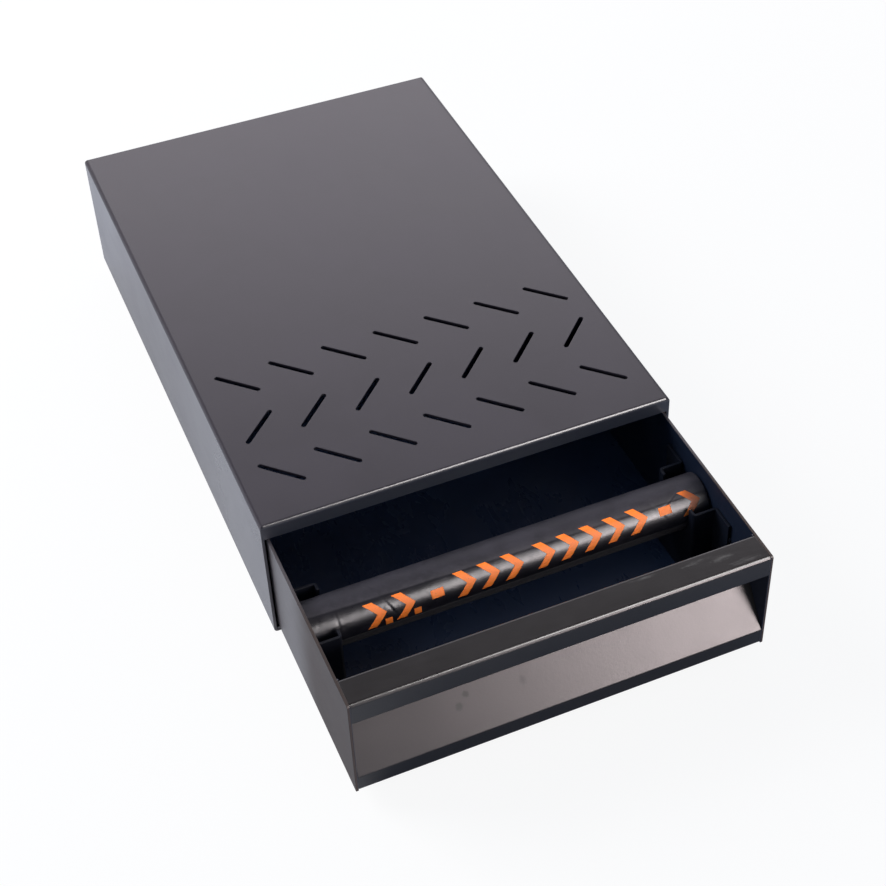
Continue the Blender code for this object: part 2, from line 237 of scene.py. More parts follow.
def round_edges(obj, edge, steps):
    """Rounds the sheet's cut edges with a Bevel modifier."""
    bevel = obj.modifiers.new("cut_edges", "BEVEL")
    bevel.width = edge
    bevel.segments = steps
    bevel.limit_method = "ANGLE"
    bevel.angle_limit = ROUNDED_ANGLE
    bevel.harden_normals = True
    bevel.use_clamp_overlap = True


# Materials


class Wire:
    """A socket's value. Arithmetic between wires and numbers adds Math nodes and gives the new wire."""

    def __init__(self, finish, socket):
        self.finish = finish
        self.socket = socket

    def maths(self, operation, *values):
        """The wire of a new Math node."""
        return self.finish.node("ShaderNodeMath", {"operation": operation}, dict(enumerate(values)))

    def __add__(self, other):
        return self.maths("ADD", self, other)

    def __sub__(self, other):
        return self.maths("SUBTRACT", self, other)

    def __mul__(self, other):
        return self.maths("MULTIPLY", self, other)

    def __truediv__(self, other):
        return self.maths("DIVIDE", self, other)

    def __pow__(self, other):
        return self.maths("POWER", self, other)

    def __radd__(self, other):
        return self.maths("ADD", other, self)

    def __rsub__(self, other):
        return self.maths("SUBTRACT", other, self)

    def __rmul__(self, other):
        return self.maths("MULTIPLY", other, self)

    def __rtruediv__(self, other):
        return self.maths("DIVIDE", other, self)

    def __abs__(self):
        return self.maths("ABSOLUTE", self)


class Finish:
    """A node tree with its shader, whose constant sockets are set by name."""

    def __init__(self, name, tree=None, **constants):
        self.material = None
        if tree is None:
            self.material = bpy.data.materials.new(name)
            self.material.use_nodes = True
            tree = self.material.node_tree
        self.tree = tree
        self.shader = tree.nodes.get("Principled BSDF")
        for socket, value in constants.items():
            self.shader.inputs[socket.replace("_", " ")].default_value = value

    def node(self, kind, settings=None, inputs=None, output=0):
        """Adds a node, sets its settings, then its sockets, and gives the wire of one output."""
        added = self.tree.nodes.new(kind)
        for setting, value in (settings or {}).items():
            setattr(added, setting, value)
        for socket, value in (inputs or {}).items():
            self.connect(added.inputs[socket], value)
        return Wire(self, added.outputs[output])

    def connect(self, socket, value):
        """Links a wire to the socket, or sets the socket to a number, a vector or a colour."""
        if isinstance(value, Wire):
            self.tree.links.new(value.socket, socket)
        elif isinstance(value, (tuple, list)) and len(value) == 3 and socket.type == "RGBA":
            socket.default_value = (*value, 1.0)
        else:
            socket.default_value = value

    def out(self, **sockets):
        """Sets the shader's own sockets by name, and gives the material."""
        for socket, value in sockets.items():
            self.connect(self.shader.inputs[socket.replace("_", " ")], value)
        return self.material

    def place(self):
        """The place on the object, in metres from the frame's origin."""
        return self.node("ShaderNodeTexCoord", output="Object")

    def axes(self, vector):
        """The three parts of a vector."""
        return [self.node("ShaderNodeSeparateXYZ", inputs={0: vector}, output=axis) for axis in "XYZ"]

    def stretched(self, vector, x, y, z):
        """The vector with each of its parts multiplied."""
        return self.node("ShaderNodeVectorMath", {"operation": "MULTIPLY"}, {0: vector, 1: (x, y, z)})

    def noise(self, vector, grain, detail=2.0, roughness=0.5, distortion=0.0):
        """Noise from 0 to 1 whose features are about grain metres across."""
        inputs = {
            "Vector": vector,
            "Scale": 1 / grain,
            "Detail": detail,
            "Roughness": roughness,
            "Distortion": distortion,
        }
        return self.node("ShaderNodeTexNoise", {"noise_dimensions": "3D"}, inputs)

    def cells(self, vector, grain):
        """Distance from random points that lie about grain metres apart, in shares of that distance."""
        inputs = {"Vector": vector, "Scale": 1 / grain}
        return self.node("ShaderNodeTexVoronoi", {}, inputs, output="Distance")

    def ramp(self, value, low, high, start=0.0, end=1.0):
        """Goes smoothly from start to end as the value goes from low to high."""
        inputs = {"Value": value, "From Min": low, "From Max": high, "To Min": start, "To Max": end}
        return self.node("ShaderNodeMapRange", {"interpolation_type": "SMOOTHSTEP"}, inputs)

    def blend(self, share, first, second):
        """The first colour at share 0 and the second at share 1."""
        return self.node("ShaderNodeMix", {"data_type": "RGBA"}, {0: share, 6: first, 7: second}, output=2)

    def bump(self, height, distance, under=None):
        """Tilts the surface as if it stood height * distance metres proud."""
        inputs = {"Height": height, "Distance": distance, "Strength": 1.0}
        if under is not None:
            inputs["Normal"] = under
        return self.node("ShaderNodeBump", {}, inputs)


# How deep under a face its own finish reaches: where it starts to fade, and where it is gone
FACE_SKIN = (0.2 * MM, 0.8 * MM)
EDGE_SKIN = (0.1 * MM, 0.5 * MM)
BIN_SKIN = (0.2 * MM, 0.6 * MM)
PLATE_SKIN = (1.3 * MM, 1.8 * MM)

# Powder coat: the grain of its orange peel, grit, drifts of gloss, wiped streaks and patches of dust, how far
# apart specks of dust lie, and how deep the peel and the grit are
PEEL_GRAIN = 1.7 * MM
GRIT_GRAIN = 0.45 * MM
DRIFT_GRAIN = 70 * MM
WIPE_GRAIN = 16 * MM
DUST_GRAIN = 23 * MM
SPECK_SPACING = 7.0 * MM
PEEL_DEPTH = 0.022 * MM
GRIT_DEPTH = 0.010 * MM
DUST_COLOUR = (0.45, 0.44, 0.42)
DRIFT_LIFT = 1.25

# Folds polished by hands: how far from the fold's corner that fades out, and its grain
RUBBED = (2.4 * MM, 3.4 * MM)
RUB_GRAIN = 6 * MM

# The casing: its front lip's colour, painted lighter as painted light on it, and where along its sides wiping
# has polished them
LIP_PAINTED_LIGHT_COLOUR = (0.090, 0.076, 0.074)
WIPED = (-100 * MM, 120 * MM)

# The drawer's flange and recess, in millimetres: scuffs as (x, y, half width, half depth), and finger marks
# as (x, z, half width, half height, how dark)
SCUFFS = (
    (116.0, -289.0, 9.0, 3.0), (128.0, -297.0, 13.0, 2.2),
    (100.0, -286.0, 14.0, 1.6), (60.0, -284.0, 12.0, 1.4),
)
FINGER_MARKS = ((-24.9, 44.8, 3.4, 3.0, 0.45), (-70.2, 42.8, 3.2, 2.8, 0.8), (-63.8, 47.5, 3.0, 2.4, 0.8))
RAGGED_GRAIN = 2.6 * MM
STREAK_GRAIN = 1.6 * MM
SCUFF_COLOUR = (0.10, 0.098, 0.088)
GREASE_COLOUR = (0.001, 0.001, 0.001)

# The bin's painted blue-black shade, which grows with the distance behind its front wall
BIN_SHADE_FADE = (1.0 * MM, 25 * MM)
FRONT_WALL_COLOUR = (0.0050, 0.0062, 0.0090)

# The drawer's sides: where handling has dulled them, and their colour behind that, painted lighter as a
# painted reflection; their inner faces and the bar brackets, painted blue-black as painted shade
HANDLED_AND_SHEEN_FADE = (-238 * MM, -190 * MM)
SIDE_PAINTED_SHEEN_COLOUR = (0.045, 0.039, 0.040)
SIDE_INNER_SHADE_COLOUR = (0.0055, 0.0085, 0.0170)
BRACKET_SHADE_COLOUR = (0.0028, 0.0040, 0.0075)

# The hose's rubber, and the yarn that shows as a ring in its cut ends
FIBRE_GRAIN = 1.1 * MM
FIBRE_DEPTH = 0.04 * MM
BLOOM_GRAIN = 18 * MM
BLOOM_COLOUR = (0.026, 0.0243, 0.0302)
MOTTLE_GRAIN = 2.6 * MM
YARN_DEPTH = 2.2 * MM
YARN_RING = (0.2 * MM, 0.45 * MM)
STRAND_SPACING = 0.9 * MM
YARN_COLOUR = (0.42, 0.40, 0.36)

# The hose's film: between which places along it goes from creased and glossy to smooth, how its edges fade in
# degrees round the hose, and its grains, depth and colours. Its upper edge lies at a + b x - c x squared
# degrees, with x in millimetres along the hose.
SMOOTHED = (-55 * MM, 35 * MM)
FILM_UPPER_EDGE = (29.5, 0.035, 0.00018)
FILM_UPPER_FADE = (-2.0, 3.0)
FILM_LOWER_EDGE = 93.0
FILM_LOWER_FADE = 2.5
LAP_FADE = (0.6, 2.4)
WRINKLE_GRAIN = 8.0 * MM
WRINKLE_DEPTH = 0.22 * MM
BLOTCH_GRAIN = 6.5 * MM
FILM_COLOUR = (0.0050, 0.0050, 0.0075)
FILM_LIGHT_COLOUR = (0.011, 0.0105, 0.014)
LAP_COLOUR = (0.004, 0.004, 0.005)

# The marks' ink, and between which places along the hose it is painted darker, as painted shade at the hose's
# right end
INK_GRAIN = 3.0 * MM
INK_DEPTH = 0.03 * MM
PINHOLE_GRAIN = 0.7 * MM
INK_LIGHT_COLOUR = (1.0, 0.26, 0.03)
INK_SHADE_COLOUR = (0.16, 0.032, 0.010)
PINHOLE_COLOUR = (0.03, 0.03, 0.032)
INK_SHADED_END = (119 * MM, 132 * MM)

# Feet, slide strips and bare steel
FOOT_GRAIN = 0.5 * MM
FOOT_GRAIN_DEPTH = 0.05 * MM
FOOT_WEAR_GRAIN = 5 * MM
FOOT_COLOUR = (0.016, 0.016, 0.018)
FOOT_WORN_COLOUR = (0.05, 0.049, 0.047)
TAPE_RUB_GRAIN = 0.9 * MM
TAPE_CLOUD_GRAIN = 30 * MM
TAPE_COLOUR = (0.60, 0.60, 0.56)
TAPE_RUBBED_COLOUR = (0.40, 0.40, 0.38)
ZINC_BLOOM_GRAIN = 4 * MM
ZINC_DRAWN_GRAIN = 0.4 * MM
ZINC_COLOUR = (0.50, 0.52, 0.55)
ZINC_YELLOW_COLOUR = (0.62, 0.60, 0.52)
SCRATCH_DEPTH = 0.01 * MM


def powder_coat(finish, colour, sheen, soil):
    """Satin powder coat: fine orange peel, drifts of gloss from its baking, and a little dust in the grain.
    Gives the wires of its colour, roughness and normal."""
    place = finish.place()
    peel = finish.noise(place, PEEL_GRAIN, 2.0, 0.45)
    grit = finish.noise(place, GRIT_GRAIN, 1.0)
    drift = finish.noise(place, DRIFT_GRAIN, 3.0, 0.55, 0.4)
    wipe = finish.noise(finish.stretched(place, 1.0, 0.35, 1.0), WIPE_GRAIN, 4.0, 0.6, 0.8)
    specks = finish.ramp(finish.cells(place, SPECK_SPACING), 0.035, 0.06, 1.0, 0.0)
    dust = specks * finish.ramp(finish.noise(place, DUST_GRAIN, 2.0), 0.55, 0.7)
    gloss = sheen + (drift - 0.5) * 0.08 + (wipe - 0.5) * 0.07 * soil + dust * 0.2
    tone = finish.ramp(drift, 0.3, 0.7)
    coat = finish.blend(tone, colour, tuple(part * DRIFT_LIFT for part in colour))
    coat = finish.blend(dust * 0.10, coat, DUST_COLOUR)
    normal = finish.bump(peel, PEEL_DEPTH, under=finish.bump(grit, GRIT_DEPTH))
    return coat, gloss, normal


def rubbed_fold(finish, first, second, corner):
    """Share from 0 to 1 by which hands have polished an outer fold, whose corner's two places are given
    across the fold. It fades with the distance from the corner and is a little uneven along the fold."""
    reach = ((first - corner[0]) ** 2 + (second - corner[1]) ** 2) ** 0.5
    uneven = finish.noise(finish.stretched(finish.place(), 0.3, 1.0, 1.0), RUB_GRAIN, 3.0, 0.6)
    return finish.ramp(reach, *RUBBED, 1.0, 0.0) * finish.ramp(uneven, 0.2, 0.5, 0.75, 1.0)


def blot(finish, first, second, centre, reach, ragged):
    """Share of a soft spot: 1 inside and 0 outside an oval of the two reaches, with a ragged edge."""
    away = (((first - centre[0]) / reach[0]) ** 2 + ((second - centre[1]) / reach[1]) ** 2) ** 0.5
    return finish.ramp(away + (ragged - 0.5) * 1.6, 0.35, 1.15, 1.0, 0.0)


def casing_coat():
    """The casing: polished on its folds and wiped on its sides, with its front lip painted lighter as painted
    light.
    """
    finish = Finish("casing_powder_coat", IOR=1.5)
    coat, gloss, normal = powder_coat(finish, tuple(finish_settings().casing_colour), 0.34, 0.6)
    along, across, up = finish.axes(finish.place())
    front = rubbed_fold(finish, across, up, (CASING_LOW[1], CASING_HIGH[2]))
    sides = rubbed_fold(finish, abs(along), up, (CASING_HIGH[0], CASING_HIGH[2]))
    # The front lip is painted lighter: painted light, standing in for light that falls on it.
    lip = finish.ramp(across - CASING_LOW[1], *EDGE_SKIN, 1.0, 0.0)
    coat = finish.blend(lip, coat, LIP_PAINTED_LIGHT_COLOUR)
    flat = finish.ramp(CASING_HIGH[0] - abs(along), *FACE_SKIN, 1.0, 0.0)
    gloss = gloss - front * 0.05 + sides * 0.20 - flat * finish.ramp(across, *WIPED, 0.08, 0.01)
    return finish.out(Base_Color=coat, Roughness=gloss, Normal=normal)


def tray_coat():
    """The drawer's folded strip: glossier than the casing where hands wipe it, streaked along its flange,
    with scuffs at the flange's right end and greasy finger marks on the recess. Inside the bin its colour is
    painted blue-black as painted shade."""
    finish = Finish("tray_powder_coat", IOR=1.45)
    settings = finish_settings()
    coat, gloss, normal = powder_coat(finish, tuple(settings.drawer_colour), 0.32, 1.0)
    place = finish.place()
    along, across, up = finish.axes(place)
    ragged = finish.noise(place, RAGGED_GRAIN, 3.0, 0.65)
    streaks = finish.noise(finish.stretched(place, 0.12, 1.0, 1.0), STREAK_GRAIN, 4.0, 0.65)
    top = finish.ramp(TRAY_HIGH[2] - up, *FACE_SKIN, 1.0, 0.0)
    front = finish.ramp(BIN_FRONT - across, *BIN_SKIN)
    for x, y, wide, deep in SCUFFS:
        scuff = blot(finish, along, across, (x * MM, y * MM), (wide * MM, deep * MM), ragged) * top * front
        coat = finish.blend(scuff * finish.ramp(streaks, 0.40, 0.70) * 0.6, coat, SCUFF_COLOUR)
        gloss = gloss + scuff * 0.06
    gloss = gloss + (streaks - 0.5) * top * front * 0.16
    for x, z, wide, high, dark in FINGER_MARKS:
        mark = blot(finish, along, up, (x * MM, z * MM), (wide * MM, high * MM), ragged) * front
        gloss = gloss + mark * 0.37 * dark
        coat = finish.blend(mark * dark, coat, GREASE_COLOUR)
    fold = rubbed_fold(finish, across, up, (TRAY_LOW[1], TRAY_HIGH[2]))
    inside = 1 - front
    # Inside the bin the colour is painted blue-black as painted shade, near-black at its front wall and full
    # further back.
    bin_shade = finish.ramp(across - BIN_FRONT, *BIN_SHADE_FADE)
    coat = finish.blend(inside, coat, finish.blend(bin_shade, FRONT_WALL_COLOUR, tuple(settings.bin_shade_colour)))
    gloss = gloss - fold * 0.03 - inside * 0.04
    return finish.out(Base_Color=coat, Roughness=gloss, Normal=normal)


def side_coat():
    """The drawer's flat side plates: dulled by handling towards the front, painted lighter behind that as a
    painted reflection, and painted blue-black inside as painted shade.
    """
    finish = Finish("side_powder_coat", IOR=1.41)
    coat, gloss, normal = powder_coat(finish, tuple(finish_settings().side_colour), 0.36, 1.0)
    along, across, up = finish.axes(finish.place())
    handled_no_sheen = finish.ramp(across, *HANDLED_AND_SHEEN_FADE, 1.0, 0.0)
    inside = finish.ramp(SIDE_HIGH[0] - abs(along), *PLATE_SKIN) * finish.ramp(SIDE_HIGH[2] - up, *EDGE_SKIN)
    # Behind the front the colour is painted lighter, a painted reflection; the inner faces are painted
    # blue-black, painted shade.
    coat = finish.blend(handled_no_sheen, SIDE_PAINTED_SHEEN_COLOUR, coat)
    coat = finish.blend(inside, coat, SIDE_INNER_SHADE_COLOUR)
    return finish.out(Base_Color=coat, Roughness=gloss + handled_no_sheen * 0.16 - inside * 0.04, Normal=normal)


def bracket_coat():
    """The bar brackets, dull, and painted blue-black all over as painted shade."""
    finish = Finish("bracket_powder_coat", IOR=1.32)
    coat, gloss, normal = powder_coat(finish, BRACKET_SHADE_COLOUR, 0.58, 1.0)
    return finish.out(Base_Color=coat, Roughness=gloss, Normal=normal)


def hose_rubber():
    """Extruded rubber cover with a bloom of wax, and the glossier, wrinkled film that carries the marks. The
    film lies between two angles round the hose. At the cut ends the plies of yarn show as pale rings."""
    finish = Finish("hose_rubber", IOR=1.39)
    place = finish.place()
    along, across, up = finish.axes(place)
    back = BAR_CENTRE[1] - across
    rise = up - BAR_CENTRE[2]
    angle = back.maths("ARCTAN2", back, rise) * math.degrees(1)
    away = (back * back + rise * rise) ** 0.5
    upper = angle - film_upper_edge(along)
    lower = finish.ramp(angle, FILM_LOWER_EDGE, FILM_LOWER_EDGE + FILM_LOWER_FADE, 1.0, 0.0)
    film = finish.ramp(upper, *FILM_UPPER_FADE) * lower
    lap = finish.ramp(abs(upper), *LAP_FADE, 1.0, 0.0)
    fibre = finish.noise(finish.stretched(place, 0.12, 1.0, 1.0), FIBRE_GRAIN, 3.0, 0.6)
    bloom = finish.noise(place, BLOOM_GRAIN, 4.0, 0.6, 0.5)
    mottle = finish.noise(place, MOTTLE_GRAIN, 2.0, 0.6)
    wrinkle = finish.noise(finish.stretched(place, 0.9, 0.8, 0.8), WRINKLE_GRAIN, 1.5, 0.4, 1.0)
    blotch = finish.noise(finish.stretched(place, 0.6, 1.0, 1.0), BLOTCH_GRAIN, 2.0, 0.5, 0.4)
    bloomed = finish.ramp(bloom, 0.35, 0.7) * 0.6 + finish.ramp(mottle, 0.45, 0.75) * 0.4
    rubber = finish.blend(bloomed, tuple(bar_settings().rubber_colour), BLOOM_COLOUR)
    coated = finish.blend(finish.ramp(blotch, 0.4, 0.7), FILM_COLOUR, FILM_LIGHT_COLOUR)
    colour = finish.blend(film, rubber, coated)
    colour = finish.blend(lap * 0.35, colour, LAP_COLOUR)
    yarn = finish.ramp(abs(away - (HOSE_OUTSIDE - YARN_DEPTH)), *YARN_RING, 1.0, 0.0)
    strands = finish.ramp(finish.cells(place, STRAND_SPACING), 0.25, 0.45, 1.0, 0.3)
    colour = finish.blend(yarn * strands, colour, YARN_COLOUR)
    matte = 0.60 + (bloom - 0.5) * 0.16 + (mottle - 0.5) * 0.22
    smooth = finish.ramp(along, *SMOOTHED)
    glossy = 0.31 + smooth * 0.03 + (blotch - 0.5) * 0.14 + (mottle - 0.5) * 0.08
    gloss = matte + film * (glossy - matte)
    under = finish.bump(fibre * (1 - film * 0.8), FIBRE_DEPTH)
    normal = finish.bump(film * wrinkle * (1 - smooth * 0.5), WRINKLE_DEPTH, under=under)
    return finish.out(Base_Color=colour, Roughness=gloss, Normal=normal)


def label_ink():
    """Screen-printed ink with pinholes, over the ripples of the film."""
    finish = Finish("hose_mark_ink", IOR=1.33)
    place = finish.place()
    patch = finish.noise(place, INK_GRAIN, 3.0, 0.6)
    holes = finish.ramp(finish.noise(place, PINHOLE_GRAIN, 2.0), 0.66, 0.74)
    ink = finish.blend(
        finish.ramp(patch, 0.3, 0.75) * 0.5, tuple(bar_settings().mark_colour), INK_LIGHT_COLOUR
    )
    # Towards the hose's right end the ink is painted darker: painted shade.
    worn = finish.ramp(finish.axes(place)[0], *INK_SHADED_END)
    ink = finish.blend(worn * 0.75, ink, INK_SHADE_COLOUR)
    colour = finish.blend(holes * 0.6, ink, PINHOLE_COLOUR)
    normal = finish.bump(patch, INK_DEPTH)
    return finish.out(Base_Color=colour, Roughness=0.58 + (patch - 0.5) * 0.2, Normal=normal)


def foot_rubber():
    """Moulded rubber with a fine grain, greyer where it is worn."""
    finish = Finish("moulded_foot_rubber", IOR=1.5)
    place = finish.place()
    worn = finish.noise(place, FOOT_WEAR_GRAIN, 3.0, 0.6)
    colour = finish.blend(finish.ramp(worn, 0.45, 0.8), FOOT_COLOUR, FOOT_WORN_COLOUR)
    normal = finish.bump(finish.noise(place, FOOT_GRAIN, 3.0, 0.6), FOOT_GRAIN_DEPTH)
    return finish.out(Base_Color=colour, Roughness=0.66 + (worn - 0.5) * 0.2, Normal=normal)


def slide_tape():
    """Milky low-friction tape, polished in streaks along the way that the drawer rubs it."""
    finish = Finish("slide_tape", IOR=1.5)
    place = finish.place()
    rub = finish.noise(finish.stretched(place, 1.0, 0.03, 1.0), TAPE_RUB_GRAIN, 3.0, 0.6)
    cloud = finish.noise(place, TAPE_CLOUD_GRAIN, 2.0)
    colour = finish.blend(finish.ramp(rub, 0.45, 0.75) * 0.5, TAPE_COLOUR, TAPE_RUBBED_COLOUR)
    gloss = 0.44 - rub * 0.2 + (cloud - 0.5) * 0.1
    return finish.out(Base_Color=colour, Roughness=gloss, Normal=finish.bump(rub, SCRATCH_DEPTH))


def zinc_plate():
    """Bright zinc with a faint yellow and blue bloom and drawn lines."""
    finish = Finish("zinc_plate", Metallic=1.0)
    place = finish.place()
    bloom = finish.noise(place, ZINC_BLOOM_GRAIN, 3.0, 0.6)
    drawn = finish.noise(finish.stretched(place, 0.05, 1.0, 1.0), ZINC_DRAWN_GRAIN, 2.0)
    colour = finish.blend(finish.ramp(bloom, 0.35, 0.7), ZINC_COLOUR, ZINC_YELLOW_COLOUR)
    gloss = 0.30 + (bloom - 0.5) * 0.2
    return finish.out(Base_Color=colour, Roughness=gloss, Normal=finish.bump(drawn, SCRATCH_DEPTH))


# Settings


class FinishSettings(bpy.types.PropertyGroup):
    casing_colour: FloatVectorProperty(
        name="Casing colour", description="Powder coat of the casing", subtype="COLOR", min=0, max=1,
        default=(0.0185, 0.0152, 0.0190),
    )
    drawer_colour: FloatVectorProperty(
        name="Drawer colour", description="Powder coat of the drawer's folded strip",
        subtype="COLOR", min=0, max=1, default=(0.0046, 0.0038, 0.0036),
    )
    side_colour: FloatVectorProperty(
        name="Side colour", description="Powder coat of the drawer's side plates",
        subtype="COLOR", min=0, max=1, default=(0.0165, 0.0098, 0.0070),
    )
    # Painted blue-black shade inside the bin.
    bin_shade_colour: FloatVectorProperty(
        name="Bin colour", description="Stained powder coat inside the bin", subtype="COLOR", min=0, max=1,
        default=(0.0150, 0.0260, 0.0530),
    )
    edge: FloatProperty(
        name="Edge rounding", description="Radius that the coat gives the sheet's cut edges", unit="LENGTH",
        default=0.35 * MM,
    )
    edge_steps: IntProperty(
        name="Edge steps", description="Faces across a rounded edge", default=3, min=1, max=6,
    )


class BarSettings(bpy.types.PropertyGroup):
    rubber_colour: FloatVectorProperty(
        name="Rubber colour", description="Cover of the hose", subtype="COLOR", min=0, max=1,
        default=(0.0122, 0.0116, 0.0152),
    )
    mark_colour: FloatVectorProperty(
        name="Mark colour", description="Printed marks on the hose", subtype="COLOR", min=0, max=1,
        default=(1.0, 0.205, 0.010),
    )
    mark_height: FloatProperty(
        name="Mark height", description="Height of a mark round the hose", unit="LENGTH",
        default=17.5 * MM,
    )
    mark_stroke: FloatProperty(
        name="Mark stroke", description="Width of a mark's stroke", unit="LENGTH", default=6.6 * MM,
    )


class StageSettings(bpy.types.PropertyGroup):
    floor_colour: FloatVectorProperty(
        name="Floor colour", description="Plain floor", subtype="COLOR", min=0, max=1,
        default=(0.74, 0.74, 0.74),
    )
    room_light: FloatProperty(
        name="Room light", description="Strength of the light from all round", default=0.36,
    )
    key_light: FloatProperty(
        name="Key light", description="Brightness of the softbox behind on the left", default=16.0,
    )
    front_light: FloatProperty(
        name="Front light", description="Brightness of the softbox at the front right", default=22.4,
    )
    strip_light: FloatProperty(
        name="Strip light", description="Brightness of the strip that glints on the folds", default=24.0,
    )
    bar_light: FloatProperty(
        name="Bar light", description="Brightness of the softbox that shines on the knock bar", default=17.0,
    )
    back_light: FloatProperty(
        name="Back light", description="Brightness of the wide softbox behind", default=1.45,
    )


def finish_settings():
    return bpy.context.scene.knock_box_finish


def bar_settings():
    return bpy.context.scene.knock_box_bar


def stage_settings():
    return bpy.context.scene.knock_box_stage


# Casing and drawer

# The rubbed film on the casing's front fold: which part of its quarter circle it covers in degrees, in how
# many points, how far its middle lies under the fold, and its thickness
FOLD_ARC = (6, 84)
FOLD_POINTS = 17
FOLD_SUNK = 0.03 * MM
FOLD_THICKNESS = 0.08 * MM

# Seams where the tray's edges meet the side plates: how much thinner than the sheet they are, how far they
# reach into both, how far they stop short of the tray's ends, and the radius of their bends
SEAM_THINNER = 0.3 * MM
SEAM_BITE = 0.1 * MM
SEAM_SHORT = 0.2 * MM
SEAM_BEND = 1.5 * MM
SEAM_BEND_STEPS = 4

# Tack welds: half width and half height of those on the bracket feet, the bin's front and the front lip,
# where they sit, and how far they are sunk into the side plates
BRACKET_WELD = (0.9 * MM, 2.4 * MM)
BIN_WELD = (1.0 * MM, 1.3 * MM)
LIP_WELD = (0.9 * MM, 2.0 * MM)
WELD_LEVELS = (26 * MM, 46 * MM, 66 * MM)
BRACKET_WELD_REACH = 43.9 * MM
BIN_WELD_BACK = 0.6 * MM
BIN_WELD_DROP = 1.8 * MM
LIP_WELD_BACK = 2.5 * MM
LIP_WELD_RISE = 3.0 * MM
WELD_SUNK = 0.3 * MM
WELD_ROWS = 9
WELD_STEPS = 12


def dress_sheet(node, material, body, slot):
    """A folded or flat sheet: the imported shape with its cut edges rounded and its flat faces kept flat."""
    settings = finish_settings()
    obj = piece(f"{node}_coated", sheet_copy(node), material, body, slot, node)
    round_edges(obj, settings.edge, settings.edge_steps)
    flatten = obj.modifiers.new("flat_faces", "WEIGHTED_NORMAL")
    flatten.weight = 100
    flatten.keep_sharp = True


def carried_bar(name, path, thickness, start, end):
    """A flat bar carried along a path of (y, z) points: each point gives four corners, half the thickness to
    either side along the path's normal, at x = start and at x = end. Both ends are closed."""
    way = np.gradient(path, axis=0)
    way = way / np.linalg.norm(way, axis=1, keepdims=True)
    normal = np.stack([-way[:, 1], way[:, 0]], axis=-1) * thickness / 2
    lines = ((start, path + normal), (start, path - normal), (end, path - normal), (end, path + normal))
    points = [np.column_stack([np.full(len(path), x), line]) for x, line in lines]
    count = len(path)
    ends = np.arange(4) * count
    faces = np.concatenate([grid_faces(4, count, close_rows=True), [ends, ends[::-1] + count - 1]])
    return surface_mesh(name, np.concatenate(points), faces)


def fold_path():
    """Most of the outer quarter circle of the casing's front fold as (y, z) points, where hands have rubbed
    the coat smooth."""
    turn = np.radians(np.linspace(*FOLD_ARC, FOLD_POINTS))
    radius = BEND_OUTSIDE - FOLD_SUNK
    across = CASING_LOW[1] + BEND_OUTSIDE - radius * np.cos(turn)
    up = CASING_HIGH[2] - BEND_OUTSIDE + radius * np.sin(turn)
    return np.column_stack([across, up])


def seam_path():
    """The middle line of the tray's sheet as (y, z) points, from the front lip to the rear wall."""
    near = TRAY_LOW[1] + SHEET / 2
    flange = BIN_FRONT - SHEET / 2
    rear = TRAY_HIGH[1] - SHEET / 2
    under = TRAY_LOW[2]
    top = TRAY_HIGH[2]
    corners = [
        (near, top - FRONT_LIP + SEAM_SHORT), (near, top - SHEET / 2), (flange, top - SHEET / 2),
        (flange, under + RECESS_FOLD), (near, under + SILL_FOLD), (near, under + SHEET / 2),
        (rear, under + SHEET / 2), (rear, top - SEAM_SHORT),
    ]
    return rounded_profile(corners, SEAM_BEND, SEAM_BEND_STEPS)


def tack_welds():
    """Small domes of weld where the tray and the bracket feet meet the side plates: half circles of (radius,
    height) stretched to an oval and turned about Z."""
    feet = [BAR_CENTRE[1] + sign * BRACKET_WELD_REACH for sign in (-1, 1)]
    spots = [(y, z, *BRACKET_WELD) for y in feet for z in WELD_LEVELS]
    spots += [
        (BIN_FRONT + BIN_WELD_BACK, z, *BIN_WELD) for z in (TRAY_HIGH[2] - BIN_WELD_DROP, WELD_LEVELS[-1])
    ]
    spots += [(TRAY_LOW[1] + LIP_WELD_BACK, TRAY_HIGH[2] - FRONT_LIP + LIP_WELD_RISE, *LIP_WELD)]
    turn = np.linspace(-math.pi / 2, math.pi / 2, WELD_ROWS)
    points = []
    faces = []
    for sign in (1, -1):
        for y, z, wide, tall in spots:
            profile = np.column_stack([np.cos(turn) * wide, np.sin(turn) * tall])
            centre = (sign * (SIDE_LOW[0] - WELD_SUNK), y, z)
            first = len(points) * WELD_ROWS * WELD_STEPS
            points.append(turned_points(profile, WELD_STEPS, centre, "Z").reshape(-1, 3))
            faces.append(grid_faces(WELD_ROWS, WELD_STEPS, close_columns=True) + first)
    return surface_mesh("drawer_tack_welds", np.concatenate(points), np.concatenate(faces))


class KNOCKBOX_OT_casing(bpy.types.Operator):
    """Folded casing with its back panel and base plate"""

    bl_idname = "knock_box.casing"
    bl_label = "Casing"

    def execute(self, context):
        coat = casing_coat()
        for node in ("casing_shell", "back_panel", "base_plate"):
            dress_sheet(node, coat, "casing", "casing_coat")
        end = CASING_HIGH[0] - BEND_OUTSIDE
        fold = carried_bar("casing_rubbed_fold", fold_path(), FOLD_THICKNESS, -end, end)
        piece("casing_rubbed_fold", fold, coat, "casing", "casing_coat")
        return {"FINISHED"}


